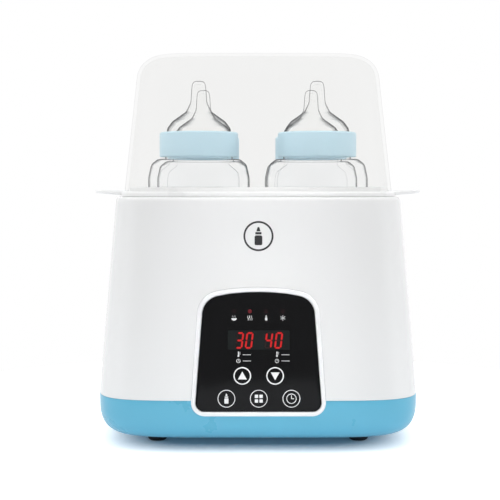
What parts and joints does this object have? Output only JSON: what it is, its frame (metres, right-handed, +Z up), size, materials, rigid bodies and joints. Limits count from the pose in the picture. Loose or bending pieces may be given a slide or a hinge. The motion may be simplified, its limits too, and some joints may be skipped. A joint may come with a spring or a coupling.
{
  "type": "bottle warmer",
  "caption": "Countertop baby-bottle warmer and steriliser: tapered white body on a blue tray, arched touch panel, lift-out eared basket of wide-neck bottles, clear hood.",
  "frame": {"origin": "on the table, under the middle of the body", "axes": "+Z up, front panel towards -Y, +X to the right as seen from the front"},
  "size_m": [0.2284, 0.1987, 0.2639],
  "materials": {
    "white_body": "glossy white ABS",
    "blue_base": "satin light blue ABS",
    "bezel_white": "glossy bright white",
    "lens_black": "high gloss black acrylic",
    "display_grey": "dark grey display face",
    "led_red": "red diffused epoxy",
    "board_green": "solder-masked laminate",
    "transformer_tape": "yellow winding tape",
    "relay_blue": "blue relay case",
    "dark_plastic": "fine-textured black",
    "chamber_steel": "drawn stainless",
    "seal_silicone": "translucent white silicone",
    "heater_aluminium": "die-cast",
    "element_steel": "heat-tinted sheath",
    "zinc_steel": "zinc plated",
    "pin_nickel": "nickel plated",
    "lead_red": "matte insulation",
    "lead_blue": "matte insulation",
    "lead_grey": "matte insulation",
    "basket_white": "satin white polypropylene",
    "hood_clear": "frost-clear polypropylene",
    "bottle_clear": "clear thick wall",
    "teat_silicone": "clear silicone",
    "collar_blue": "pale blue satin",
    "foot_rubber": "matte dark rubber"
  },
  "bodies": {
    "housing": {"outer_shell": "white_body", "base_tray": "blue_base", "rubber_foot_1": "foot_rubber", "rubber_foot_2": "foot_rubber", "rubber_foot_3": "foot_rubber", "rubber_foot_4": "foot_rubber", "base_screw_1": "zinc_steel", "base_screw_2": "zinc_steel", "base_screw_3": "zinc_steel", "base_screw_4": "zinc_steel", "panel_bezel": "bezel_white", "panel_lens": "lens_black", "display_module": "display_grey", "indicator_led_1": "led_red", "indicator_led_2": "led_red", "indicator_led_3": "led_red", "indicator_led_4": "led_red", "touch_spring_1": "zinc_steel", "touch_spring_2": "zinc_steel", "touch_spring_3": "zinc_steel", "touch_spring_4": "zinc_steel", "touch_spring_5": "zinc_steel", "control_board": "board_green", "power_board": "board_green", "transformer": "transformer_tape", "capacitor": "dark_plastic", "relay": "relay_blue", "buzzer": "dark_plastic", "heating_chamber": "chamber_steel", "chamber_seal": "seal_silicone", "heater_plate": "heater_aluminium", "heater_element": "element_steel", "heater_clamp": "zinc_steel", "temperature_sensor": "zinc_steel", "thermal_fuse": "zinc_steel", "inlet_socket": "dark_plastic", "inlet_pin_1": "pin_nickel", "inlet_pin_2": "pin_nickel", "mains_lead_1": "lead_red", "mains_lead_2": "lead_blue", "heater_lead_1": "lead_red", "heater_lead_2": "lead_blue", "sensor_lead": "lead_grey", "panel_ribbon": "lead_grey"},
    "basket": {"bottle_basket": "basket_white"},
    "hood": {"hood": "hood_clear"},
    "bottle_1": {"bottle_1": "bottle_clear"},
    "teat_1": {"teat_1": "teat_silicone"},
    "collar_1": {"collar_1": "collar_blue"},
    "bottle_2": {"bottle_2": "bottle_clear"},
    "teat_2": {"teat_2": "teat_silicone"},
    "collar_2": {"collar_2": "collar_blue"},
    "bottle_3": {"bottle_3": "bottle_clear"},
    "teat_3": {"teat_3": "teat_silicone"},
    "collar_3": {"collar_3": "collar_blue"},
    "bottle_4": {"bottle_4": "bottle_clear"},
    "teat_4": {"teat_4": "teat_silicone"},
    "collar_4": {"collar_4": "collar_blue"}
  },
  "joints": [
    {"name": "basket_lift", "type": "slide", "parent": "housing", "child": "basket", "axis": [0, 0, 1], "range_m": [0, 0.1]},
    {"name": "hood_lift", "type": "slide", "parent": "basket", "child": "hood", "axis": [0, 0, 1], "range_m": [0, 0.1]},
    {"name": "bottle_lift_1", "type": "slide", "parent": "basket", "child": "bottle_1", "axis": [0, 0, 1], "range_m": [0, 0.012]},
    {"name": "teat_lift_1", "type": "slide", "parent": "bottle_1", "child": "teat_1", "axis": [0, 0, 1], "range_m": [0, 0.0091]},
    {"name": "collar_turn_1", "type": "hinge", "parent": "teat_1", "child": "collar_1", "pos_m": [-0.04085, -0.039, 0.202], "axis": [0, 0, 1], "range_deg": [0, 540]},
    {"name": "bottle_lift_2", "type": "slide", "parent": "basket", "child": "bottle_2", "axis": [0, 0, 1], "range_m": [0, 0.012]},
    {"name": "teat_lift_2", "type": "slide", "parent": "bottle_2", "child": "teat_2", "axis": [0, 0, 1], "range_m": [0, 0.0091]},
    {"name": "collar_turn_2", "type": "hinge", "parent": "teat_2", "child": "collar_2", "pos_m": [0.04085, -0.039, 0.202], "axis": [0, 0, 1], "range_deg": [0, 540]},
    {"name": "bottle_lift_3", "type": "slide", "parent": "basket", "child": "bottle_3", "axis": [0, 0, 1], "range_m": [0, 0.012]},
    {"name": "teat_lift_3", "type": "slide", "parent": "bottle_3", "child": "teat_3", "axis": [0, 0, 1], "range_m": [0, 0.0091]},
    {"name": "collar_turn_3", "type": "hinge", "parent": "teat_3", "child": "collar_3", "pos_m": [0.04085, 0.039, 0.202], "axis": [0, 0, 1], "range_deg": [0, 540]},
    {"name": "bottle_lift_4", "type": "slide", "parent": "basket", "child": "bottle_4", "axis": [0, 0, 1], "range_m": [0, 0.012]},
    {"name": "teat_lift_4", "type": "slide", "parent": "bottle_4", "child": "teat_4", "axis": [0, 0, 1], "range_m": [0, 0.0091]},
    {"name": "collar_turn_4", "type": "hinge", "parent": "teat_4", "child": "collar_4", "pos_m": [-0.04085, 0.039, 0.202], "axis": [0, 0, 1], "range_deg": [0, 540]}
  ],
  "couplings": [
    {"joint": "teat_lift_1", "follows": "collar_turn_1", "m_per_rad": 0.000954},
    {"joint": "teat_lift_2", "follows": "collar_turn_2", "m_per_rad": 0.000954},
    {"joint": "teat_lift_3", "follows": "collar_turn_3", "m_per_rad": 0.000954},
    {"joint": "teat_lift_4", "follows": "collar_turn_4", "m_per_rad": 0.000954}
  ]
}
